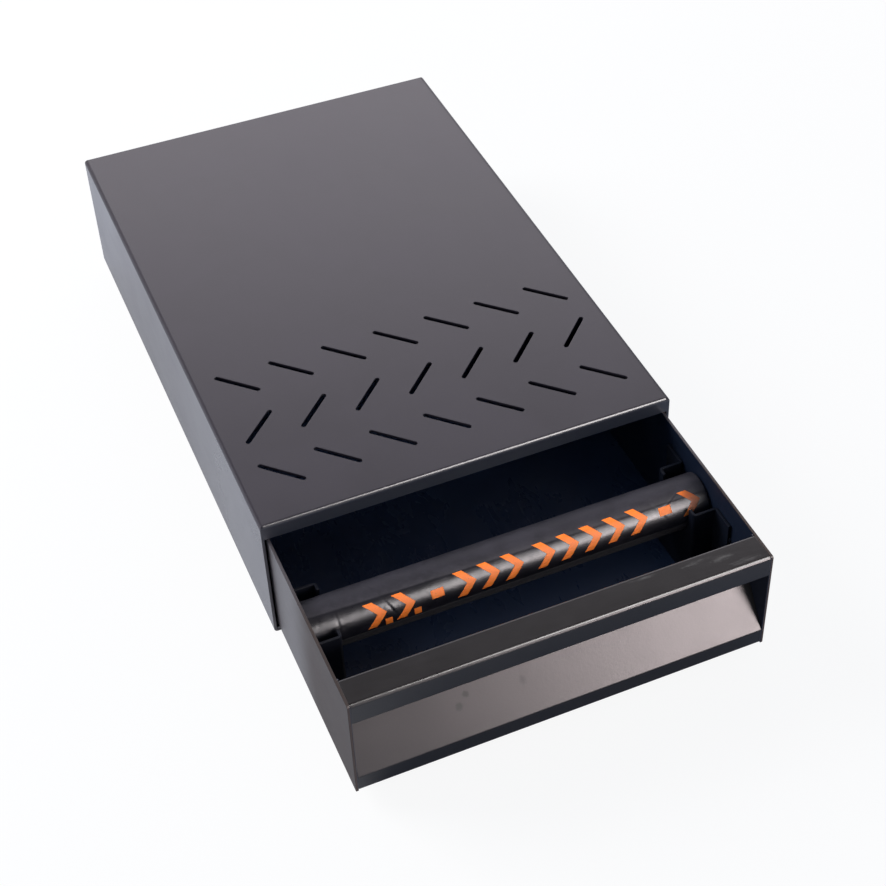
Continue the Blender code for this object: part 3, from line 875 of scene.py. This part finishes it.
class KNOCKBOX_OT_drawer(bpy.types.Operator):
    """Drawer tray, side plates and bar brackets"""

    bl_idname = "knock_box.drawer"
    bl_label = "Drawer"

    def execute(self, context):
        tray = tray_coat()
        dress_sheet("drawer_tray", tray, "drawer", "drawer_coat")
        coat = side_coat()
        dull = bracket_coat()
        for side, sign in (("left", -1), ("right", 1)):
            dress_sheet(f"drawer_side_{side}", coat, "drawer", "drawer_coat")
            dress_sheet(f"bar_bracket_{side}", dull, "drawer", "drawer_coat")
            start = sign * (TRAY_HIGH[0] - SEAM_BITE)
            end = sign * (SIDE_LOW[0] + SEAM_BITE)
            seam = carried_bar(f"drawer_seam_{side}", seam_path(), SHEET - SEAM_THINNER, start, end)
            piece(f"drawer_seam_{side}", seam, tray, "drawer", "drawer_coat")
        piece("drawer_tack_welds", tack_welds(), coat, "drawer", "drawer_coat")
        return {"FINISHED"}


# Knock bar

# The hose: how many points it has along and round, its cut ends' rounding, how far its rubber lies inside the
# solid, how high its slow waves are, and how proud its film and the film's ripples stand
HOSE_POINTS_ALONG = 420
HOSE_POINTS_ROUND = 168
HOSE_EDGE = 0.8 * MM
HOSE_EDGE_POINTS = 5
RUBBER_INSET = 0.26 * MM
WAVE_HEIGHT = 0.03 * MM
WAVE_LENGTHS = (17 * MM, 7.3 * MM)
FILM_PROUD = 0.11 * MM
FILM_EDGE_DEGREES = 1.2
RIPPLE_HEIGHT = 0.03 * MM
RIPPLE_LENGTHS = (3.4 * MM, 5.6 * MM)

# Creases of the film on the hose, in millimetres and degrees: where each line crosses the top of the hose,
# how far it moves along per degree, between which angles it runs, and how deep it is
CREASES = (
    (-97.6, 0.165, -16.0, 92.0, 0.20),
    (97.8, 0.190, 10.0, 70.0, 0.21),
    (131.8, -0.530, 15.0, 50.0, 0.20),
    (-31.4, 0.088, 5.0, 27.0, 0.14),
    (-124.8, 0.010, -30.0, 92.0, 0.12),
)
CREASE_END_DEGREES = 6

# A crease's half width, and its ridge: how far beside it, its half width and its share of the crease's depth
CREASE_WIDTH = 0.7
RIDGE_BESIDE = 1.6
RIDGE_WIDTH = 0.8
RIDGE_SHARE = 0.6

# The steel tube's wall and the rounding of its ends
CORE_WALL = 2.0 * MM
CORE_EDGE = 0.4 * MM
CORE_EDGE_STEPS = 4
CORE_STEPS = 96

# Marks on the hose, from left to right: where each starts along the hose in millimetres, and what it is
MARKS = (
    (-106.5, "chevron"), (-94.0, "dot"), (-86.5, "chevron"), (-74.0, "dot"), (-61.0, "dash"),
    (-43.6, "chevron"), (-26.5, "chevron"), (-9.5, "chevron"),
    (13.8, "chevron"), (31.0, "chevron"), (48.2, "chevron"), (65.4, "chevron"), (82.6, "chevron"),
    (106.0, "dash"), (122.7, "chevron"),
)

# Where the marks' middle lies round the hose in degrees, by the place along it in millimetres
MARK_DRIFT = ((-106.5, 60.0), (0.0, 53.5), (142.0, 44.5))
CHEVRON_REACH = 8.0 * MM
DASH_LENGTH = 9.0 * MM
DASH_HEIGHT_SHARE = 0.9
DOT_SHARE = 0.75
DOT_DROP_SHARE = 0.42
MARK_POINTS_ALONG = 41
MARK_POINTS_ACROSS = 11
INK_THICKNESS = 0.05 * MM


def film_upper_edge(along):
    """Angle in degrees of the film's upper edge, which runs slightly skew: a + b x - c x squared, with x in
    millimetres along the hose. It takes arrays and material wires alike."""
    x = along * (1 / MM)
    start, lean, curve = FILM_UPPER_EDGE
    return start + x * lean - x * x * curve


def hose_surface(along, angle):
    """Radius of the hose's outside at a place along it and an angle from the top towards the drawer's front.
    Slow waves swell it, the film stands a little proud, and each crease is a narrow groove of the form
    depth / (1 + (distance / width) squared) beside a ridge of the same form."""
    degrees = (np.degrees(angle) + 180) % 360 - 180
    long_wave, short_wave = WAVE_LENGTHS
    waves = np.sin(along / long_wave + 2 * angle) + np.sin(along / short_wave - 3 * angle + 1.1)
    on_film = np.clip((degrees - film_upper_edge(along)) / FILM_EDGE_DEGREES, 0, 1)
    on_film = on_film * np.clip((FILM_LOWER_EDGE - degrees) / FILM_EDGE_DEGREES, 0, 1)
    fine, coarse = RIPPLE_LENGTHS
    ripple = np.sin(along / fine + 1.5 * np.sin(angle * 5)) * np.sin(along / coarse + angle * 3.3)
    proud = on_film * (FILM_PROUD + RIPPLE_HEIGHT * ripple)
    radius = HOSE_OUTSIDE - RUBBER_INSET - WAVE_HEIGHT * waves + proud
    for start, lean, first, last, depth in CREASES:
        distance = along / MM - start - lean * degrees
        inside = np.clip((degrees - first) / CREASE_END_DEGREES, 0, 1)
        inside = inside * np.clip((last - degrees) / CREASE_END_DEGREES, 0, 1)
        groove = 1 / (1 + (distance / CREASE_WIDTH) ** 2)
        ridge = RIDGE_SHARE / (1 + ((distance - RIDGE_BESIDE) / RIDGE_WIDTH) ** 2)
        radius = radius - (groove - ridge) * inside * depth * MM
    return radius


def on_hose(along, angle, radius):
    """Points at a place along the hose, an angle from its top towards the drawer's front, and a radius."""
    across = BAR_CENTRE[1] - radius * np.sin(angle)
    up = BAR_CENTRE[2] + radius * np.cos(angle)
    return np.stack(np.broadcast_arrays(along, across, up), axis=-1)


def hose_points():
    """The hose's outside and cut ends as rings about the bar's axis: each ring lies at a distance along it,
    with the radius of hose_surface less a drop, which follows a quarter circle at the cut edges. The first
    and the last ring lie in the bore, and joining them closes the tube."""
    rounding = np.linspace(0, math.pi / 2, HOSE_EDGE_POINTS)
    end_along = HOSE_HALF - HOSE_EDGE + HOSE_EDGE * np.cos(rounding)
    drop = HOSE_EDGE * (1 - np.sin(rounding))
    middle = np.linspace(HOSE_HALF - HOSE_EDGE, -HOSE_HALF + HOSE_EDGE, HOSE_POINTS_ALONG)[1:-1]
    along = np.concatenate([[HOSE_HALF], end_along, middle, -end_along[::-1], [-HOSE_HALF]])[:, None]
    drop = np.concatenate([[0], drop, np.zeros(len(middle)), drop[::-1], [0]])[:, None]
    angle = np.arange(HOSE_POINTS_ROUND)[None, :] * FULL_TURN / HOSE_POINTS_ROUND
    radius = hose_surface(along, angle) - drop
    radius[[0, -1]] = CORE_OUTSIDE + FIT
    return on_hose(along, angle, radius)


def mark_points(start, kind, height, stroke):
    """A mark as a grid of (share along its stroke, share across it), laid on the hose. A chevron's middle
    line is start + reach * (1 - |t|) along the hose and t * height / 2 round it, for t from -1 to 1. A dash
    and a dot are short straight strokes, and a dot sits low. Where a mark lies round the hose drifts slowly
    along it."""
    sizes = {
        "chevron": (height, CHEVRON_REACH, stroke, 0.0),
        "dash": (stroke * DASH_HEIGHT_SHARE, 0.0, DASH_LENGTH, 0.0),
        "dot": (stroke * DOT_SHARE, 0.0, stroke * DOT_SHARE, -height * DOT_DROP_SHARE),
    }
    tall, reach, wide, drop = sizes[kind]
    t = np.linspace(-1, 1, MARK_POINTS_ALONG)[:, None]
    s = np.linspace(0, 1, MARK_POINTS_ACROSS)[None, :]
    along = start * MM + reach * (1 - np.abs(t)) + s * wide
    places, turns = zip(*MARK_DRIFT)
    centre = np.interp(along / MM, places, turns)
    angle = np.radians(centre) - (t * tall / 2 + drop) / HOSE_OUTSIDE
    return on_hose(along, angle, hose_surface(along, angle) + INK_THICKNESS)


class KNOCKBOX_OT_bar(bpy.types.Operator):
    """Rubber hose of the knock bar and the steel tube inside it"""

    bl_idname = "knock_box.bar"
    bl_label = "Knock bar"

    def execute(self, context):
        points = hose_points()
        mesh = surface_mesh("bar_sleeve_hose", points, grid_faces(*points.shape[:2], True, True))
        piece("bar_sleeve_hose", mesh, hose_rubber(), "bar_sleeve", "hose_rubber", "bar_hose")
        bore = CORE_OUTSIDE - CORE_WALL
        corners = [(bore, 0.0), (bore, CORE_HALF), (CORE_OUTSIDE, CORE_HALF), (CORE_OUTSIDE, 0.0)]
        half = rounded_profile(corners, CORE_EDGE, CORE_EDGE_STEPS)
        profile = np.concatenate([half, half[::-1][1:-1] * np.array([1, -1])])
        centre = (0, BAR_CENTRE[1], BAR_CENTRE[2])
        tube = turned_mesh("bar_core_tube", profile, CORE_STEPS, centre, "X", closed=True)
        piece("bar_core_tube", tube, zinc_plate(), "bar", "zinc_steel", "bar_core")
        return {"FINISHED"}


class KNOCKBOX_OT_marks(bpy.types.Operator):
    """Plain orange marks printed on the hose"""

    bl_idname = "knock_box.marks"
    bl_label = "Hose marks"

    def execute(self, context):
        settings = bar_settings()
        points = []
        faces = []
        count = 0
        for start, kind in MARKS:
            grid = mark_points(start, kind, settings.mark_height, settings.mark_stroke)
            points.append(grid.reshape(-1, 3))
            faces.append(grid_faces(*grid.shape[:2]) + count)
            count += len(points[-1])
        mesh = bpy.data.meshes.new("hose_marks")
        mesh.from_pydata(np.concatenate(points).tolist(), [], np.concatenate(faces)[:, ::-1].tolist())
        mesh.shade_smooth()
        marks = piece("hose_marks", mesh, label_ink(), "bar_sleeve", "hose_rubber")
        body = marks.modifiers.new("ink_body", "SOLIDIFY")
        body.thickness = INK_THICKNESS
        body.offset = -1
        return {"FINISHED"}


# Feet, screws, slide strips and bumpers

# Feet: radius of the screw's hole and of the recess for its head, the recess's depth, the lower rim's chamfer
# as width and height, and the rounding of the edges
FOOT_HOLE = 2.2 * MM
FOOT_RECESS = 4.4 * MM
FOOT_RECESS_DEPTH = 3.2 * MM
FOOT_CHAMFER = (0.9 * MM, 1.3 * MM)
FOOT_EDGE = 0.25 * MM
FOOT_EDGE_STEPS = 4
FOOT_STEPS = 72

# Screws: radius of the shank, height of the head, its dome as shares of its radius and heights in
# millimetres, its lower edge, the hexagon socket's half width across its flats, its depth and its chamfer,
# the thread, and the tip's points as how far they lie inside the shank and short of its end
SCREW_SHANK = 1.9 * MM
SCREW_HEAD = 2.2 * MM
SCREW_DOME = ((0.72, 0.02), (0.9, 0.3), (0.98, 0.75), (1.0, 1.1))
SCREW_HEAD_EDGE = 0.15 * MM
SOCKET_HALF = 1.5 * MM
SOCKET_DEPTH = 1.2 * MM
SOCKET_CHAMFER = (0.25 * MM, 0.1 * MM)
THREAD_FROM_HEAD = 0.4 * MM
THREAD_FROM_TIP = 0.5 * MM
THREAD_DEPTH = 0.22 * MM
THREAD_POINTS = 40
TIP = ((0.2 * MM, 0.35 * MM), (0.6 * MM, 0.0))
SMALL_STEPS = 48

# Slide strips' and bumpers' edges
STRIP_EDGE = 0.4 * MM
STRIP_EDGE_STEPS = 3
BUMPER_EDGE = 0.35 * MM
BUMPER_DOME_POINTS = 13
BUMPER_DOME_SHARE = 0.55


class KNOCKBOX_OT_feet(bpy.types.Operator):
    """Rubber feet and the screws that hold them"""

    bl_idname = "knock_box.feet"
    bl_label = "Feet and screws"

    def execute(self, context):
        rubber = foot_rubber()
        zinc = zinc_plate()
        for end in ("front", "back"):
            for side in ("left", "right"):
                self.foot(f"foot_{end}_{side}", rubber)
                self.screw(f"foot_screw_{end}_{side}", zinc)
        return {"FINISHED"}

    def foot(self, node, rubber):
        """A ring with a stepped hole: its closed (radius, height) outline turned about Z."""
        low, high = node_box(node)
        centre = (low + high) / 2
        radius = (high[0] - low[0]) / 2
        height = high[2] - low[2]
        inset, rise = FOOT_CHAMFER
        seam = [(FOOT_HOLE, (FOOT_RECESS_DEPTH + height) / 2)]
        corners = [
            (FOOT_HOLE, FOOT_RECESS_DEPTH), (FOOT_RECESS, FOOT_RECESS_DEPTH), (FOOT_RECESS, 0.0),
            (radius - inset, 0.0), (radius, rise), (radius, height), (FOOT_HOLE, height),
        ]
        profile = rounded_profile(seam + corners + seam, FOOT_EDGE, FOOT_EDGE_STEPS)[:-1]
        place = (centre[0], centre[1], low[2])
        mesh = turned_mesh(f"{node}_moulded", profile, FOOT_STEPS, place, "Z", closed=True)
        piece(f"{node}_moulded", mesh, rubber, "casing", "foot_rubber", node)

    def screw(self, node, zinc):
        """A domed head with a hexagon socket, and a threaded shank: a (radius, height) profile turned about
        Z, with the socket's points on a hexagon."""
        low, high = node_box(node)
        centre = (low + high) / 2
        head = (high[0] - low[0]) / 2
        height = high[2] - low[2]
        socket = SOCKET_HALF / math.cos(math.pi / 6)
        wide, deep = SOCKET_CHAMFER
        profile = [(0.0, SOCKET_DEPTH), (socket, SOCKET_DEPTH), (socket, deep), (socket + wide, 0.0)]
        profile += [(head * share, rise * MM) for share, rise in SCREW_DOME]
        profile += [
            (head, SCREW_HEAD - SCREW_HEAD_EDGE), (head - SCREW_HEAD_EDGE, SCREW_HEAD),
            (SCREW_SHANK, SCREW_HEAD),
        ]
        turns = np.linspace(SCREW_HEAD + THREAD_FROM_HEAD, height - THREAD_FROM_TIP, THREAD_POINTS)
        groove = (np.arange(THREAD_POINTS) % 4 >= 2) * THREAD_DEPTH
        profile += list(zip(SCREW_SHANK - groove, turns))
        profile += [(SCREW_SHANK - inset, height - drop) for inset, drop in TIP] + [(0.0, height)]
        hexagon = [1.0 if index in (1, 2) else 0.0 for index in range(len(profile))]
        place = (centre[0], centre[1], low[2])
        mesh = turned_mesh(f"{node}_zinc", profile, SMALL_STEPS, place, "Z", hexagon_share=hexagon)
        piece(f"{node}_zinc", mesh, zinc, "casing", "zinc_steel", node)


class KNOCKBOX_OT_slides(bpy.types.Operator):
    """Slide strips under the drawer and the bumpers behind it"""

    bl_idname = "knock_box.slides"
    bl_label = "Slide strips and bumpers"

    def execute(self, context):
        tape = slide_tape()
        rubber = foot_rubber()
        for side in ("left", "right"):
            strip = sheet_copy(f"glide_{side}")
            obj = piece(f"glide_{side}_tape", strip, tape, "casing", "slide_strip", f"glide_{side}")
            round_edges(obj, STRIP_EDGE, STRIP_EDGE_STEPS)
            self.bumper(f"bumper_{side}", rubber)
        return {"FINISHED"}

    def bumper(self, node, rubber):
        """A button turned about Y. For s from 0 to 1 its dome's radius is that of the button times sin(90 s)
        to the power of the dome's share, at 1 - that share * s to the power 4 of its height."""
        low, high = node_box(node)
        centre = (low + high) / 2
        radius = (high[0] - low[0]) / 2
        height = high[1] - low[1]
        s = np.linspace(0, 1, BUMPER_DOME_POINTS)
        reach = radius * np.sin(s * math.pi / 2) ** BUMPER_DOME_SHARE
        dome = np.column_stack([reach, height * (1 - BUMPER_DOME_SHARE * s ** 4)])
        foot = [(radius, BUMPER_EDGE), (radius - BUMPER_EDGE, 0.0), (0.0, 0.0)]
        profile = np.concatenate([dome, foot]) * np.array([1, -1])
        place = (centre[0], high[1], centre[2])
        mesh = turned_mesh(f"{node}_button", profile, SMALL_STEPS, place, "Y")
        piece(f"{node}_button", mesh, rubber, "casing", "foot_rubber", node)


# Stage

# The photo's camera, fitted to the object's corners and slots: where it stands, which way it looks and which
# way is right, its lens and sensor in millimetres, its shift, and how near and how far it sees
CAMERA_EYE = (-0.32421, -0.94741, 0.95209)
CAMERA_FORWARD = (0.28958, 0.67921, -0.67440)
CAMERA_RIGHT = (0.91467, -0.40395, -0.01407)
CAMERA_LENS = 72.70
CAMERA_SENSOR = 36.0
CAMERA_SHIFT = (-0.0543, -0.0531)
CAMERA_CLIP = (0.01, 50.0)

# The floor: its half width, from where to where it goes wholly white to the camera, how white it is before
# that, and the colour and grain of its paper
FLOOR_HALF = 6.0
FLOOR_WHITE = (0.5, 1.6)
FLOOR_WHITE_SHARE = 0.92
PAPER_COLOUR = (0.71, 0.71, 0.71)
PAPER_GRAIN = 2.0 * MM

# The room: its light's tint, and in reflections how high its ceiling starts and is full, how bright that is,
# and the tints of the walls and the ceiling
ROOM_COLOUR = (0.62, 0.90, 1.40)
CEILING = (0.62, 0.80)
CEILING_LEVEL = 0.28
WALL_TINT = (1.0, 0.965, 1.05)
CEILING_TINT = (1.0, 0.935, 0.97)

# Softboxes: where each stands and what it faces, its width and height, its colour, the setting that holds its
# brightness, what it is left out of, and what the names of the pieces start with that it is kept to
SOFTBOXES = (
    {
        "name": "key_softbox", "place": (-2.00, 1.64, 1.83), "target": (0, 0, 0), "size": (1.75, 1.75),
        "colour": (1.0, 0.985, 1.0), "setting": "key_light", "without": "visible_glossy",
    },
    {
        "name": "front_softbox", "place": (0.985, -1.83, 0.62), "target": (0.05, -0.30, 0.05),
        "size": (0.84, 0.85), "colour": (1.0, 0.86, 0.86), "setting": "front_light",
        "only": ("drawer", "bar", "hose"),
    },
    {
        "name": "edge_strip", "place": (0.57, -0.82, 1.18), "target": (0, -0.25, 0.1), "size": (0.55, 1.1),
        "colour": (1.0, 0.96, 0.95), "setting": "strip_light", "without": "visible_diffuse",
        "only": ("casing_rubbed", "drawer"),
    },
    {
        "name": "bar_softbox", "place": (0.74, -1.55, 0.82), "target": BAR_CENTRE, "size": (1.0, 1.30),
        "colour": (1.0, 0.95, 0.94), "setting": "bar_light", "without": "visible_diffuse",
        "only": ("bar_sleeve", "hose"),
    },
    {
        "name": "back_softbox", "place": (0.75, 2.0, 0.95), "target": (0, 0.1, 0.1), "size": (2.2, 1.7),
        "colour": (1.0, 0.94, 1.0), "setting": "back_light",
    },
)


def floor_finish():
    """Plain pale floor. The camera sees it almost white, wholly white further out, with the object's shadow
    kept."""
    finish = Finish("studio_floor", Roughness=0.9)
    place = finish.place()
    along, across, up = finish.axes(place)
    away = (along * along + across * across) ** 0.5
    paper = finish.noise(place, PAPER_GRAIN, 2.0)
    finish.out(Base_Color=finish.blend(paper, tuple(stage_settings().floor_colour), PAPER_COLOUR))
    white = finish.node("ShaderNodeEmission", {}, {"Color": (1.0, 1.0, 1.0), "Strength": 1.0})
    seen = finish.node("ShaderNodeLightPath", output="Is Camera Ray")
    share = seen * finish.ramp(away, *FLOOR_WHITE, FLOOR_WHITE_SHARE, 1.0)
    lit = Wire(finish, finish.shader.outputs[0])
    mixed = finish.node("ShaderNodeMixShader", {}, {0: share, 1: lit, 2: white})
    finish.connect(finish.tree.nodes["Material Output"].inputs["Surface"], mixed)
    return finish.material


def softbox(name, place, target, size, colour, setting, without=None, only=None):
    """A rectangular lamp that faces the target. Its power is its brightness * pi * its area. It can be left
    out of reflections or of plain light, and kept to the pieces whose names start in given ways."""
    width, height = size
    lamp = bpy.data.lights.new(name, "AREA")
    lamp.shape = "RECTANGLE"
    lamp.size = width
    lamp.size_y = height
    lamp.energy = getattr(stage_settings(), setting) * math.pi * width * height
    lamp.color = colour
    obj = bpy.data.objects.new(name, lamp)
    bpy.context.scene.collection.objects.link(obj)
    way = Vector(target) - Vector(place)
    obj.matrix_world = Matrix.Translation(place) @ way.to_track_quat("-Z", "Y").to_matrix().to_4x4()
    if without:
        setattr(obj, without, False)
    if only:
        lit = bpy.data.collections.new(f"{name}_lit")
        for other in bpy.data.objects:
            if other.name.startswith(only):
                lit.objects.link(other)
        obj.light_linking.receiver_collection = lit


class KNOCKBOX_OT_stage(bpy.types.Operator):
    """Camera, floor, room light and softboxes"""

    bl_idname = "knock_box.stage"
    bl_label = "Stage"

    def execute(self, context):
        self.camera(context.scene)
        self.floor(context.scene)
        self.room(context.scene)
        for box in SOFTBOXES:
            softbox(**box)
        context.scene.view_settings.view_transform = "Standard"
        return {"FINISHED"}

    def camera(self, scene):
        forward = Vector(CAMERA_FORWARD).normalized()
        right = Vector(CAMERA_RIGHT)
        right = (right - forward * right.dot(forward)).normalized()
        up = right.cross(forward)
        turn = Matrix((right, up, -forward)).transposed().to_4x4()
        data = bpy.data.cameras.new("photo_camera")
        data.lens = CAMERA_LENS
        data.sensor_width = CAMERA_SENSOR
        data.shift_x, data.shift_y = CAMERA_SHIFT
        data.clip_start, data.clip_end = CAMERA_CLIP
        camera = bpy.data.objects.new("photo_camera", data)
        camera.matrix_world = Matrix.Translation(CAMERA_EYE) @ turn
        scene.collection.objects.link(camera)
        scene.camera = camera

    def floor(self, scene):
        points = [(x, y, 0.0) for y in (-FLOOR_HALF, FLOOR_HALF) for x in (-FLOOR_HALF, FLOOR_HALF)]
        mesh = bpy.data.meshes.new("studio_floor")
        mesh.from_pydata(points, [], [(0, 1, 3, 2)])
        mesh.materials.append(floor_finish())
        floor = bpy.data.objects.new("studio_floor", mesh)
        scene.collection.objects.link(floor)

    def room(self, scene):
        """White to the camera and through what is clear. In reflections it is bright walls under a darker
        ceiling, and as plain light it has one level all round."""
        world = bpy.data.worlds.new("studio")
        world.use_nodes = True
        scene.world = world
        room = Finish("studio", tree=world.node_tree)
        rays = ("Is Camera Ray", "Is Glossy Ray", "Is Transmission Ray")
        camera, glossy, passing = [room.node("ShaderNodeLightPath", output=ray) for ray in rays]
        height = room.axes(room.node("ShaderNodeTexCoord", output="Generated"))[2]
        overhead = room.ramp(height, *CEILING)
        ceiling = 1 - overhead * (1 - CEILING_LEVEL)
        tint = room.blend(overhead, WALL_TINT, CEILING_TINT)
        direct = camera + passing
        seen = direct.maths("MINIMUM", direct, 1.0)
        strength = seen + (1 - seen) * (glossy * ceiling + (1 - glossy) * stage_settings().room_light)
        colour = room.blend(seen, room.blend(glossy, ROOM_COLOUR, tint), (1.0, 1.0, 1.0))
        background = world.node_tree.nodes["Background"]
        room.connect(background.inputs["Color"], colour)
        room.connect(background.inputs["Strength"], strength)


class KNOCKBOX_PT_pieces(bpy.types.Panel):
    bl_label = "Knock Box Grinder Base"
    bl_idname = "KNOCKBOX_PT_pieces"
    bl_space_type = "VIEW_3D"
    bl_region_type = "UI"
    bl_category = "Knock Box"

    def draw(self, context):
        layout = self.layout
        for settings in (finish_settings(), bar_settings(), stage_settings()):
            box = layout.box()
            for name in settings.__annotations__:
                box.prop(settings, name)
        for operator in OPERATORS:
            layout.operator(operator.bl_idname)


OPERATORS = (
    KNOCKBOX_OT_casing,
    KNOCKBOX_OT_drawer,
    KNOCKBOX_OT_bar,
    KNOCKBOX_OT_marks,
    KNOCKBOX_OT_feet,
    KNOCKBOX_OT_slides,
    KNOCKBOX_OT_stage,
)
GROUPS = {"knock_box_finish": FinishSettings, "knock_box_bar": BarSettings, "knock_box_stage": StageSettings}


def register():
    for group in (*GROUPS.values(), *OPERATORS, KNOCKBOX_PT_pieces):
        bpy.utils.register_class(group)
    for name, group in GROUPS.items():
        setattr(bpy.types.Scene, name, PointerProperty(type=group))


def unregister():
    for name in GROUPS:
        delattr(bpy.types.Scene, name)
    for group in (KNOCKBOX_PT_pieces, *reversed(OPERATORS), *GROUPS.values()):
        bpy.utils.unregister_class(group)


def main():
    register()
    for operator in OPERATORS:
        group, name = operator.bl_idname.split(".")
        getattr(getattr(bpy.ops, group), name)()


if __name__ == "__main__":
    main()
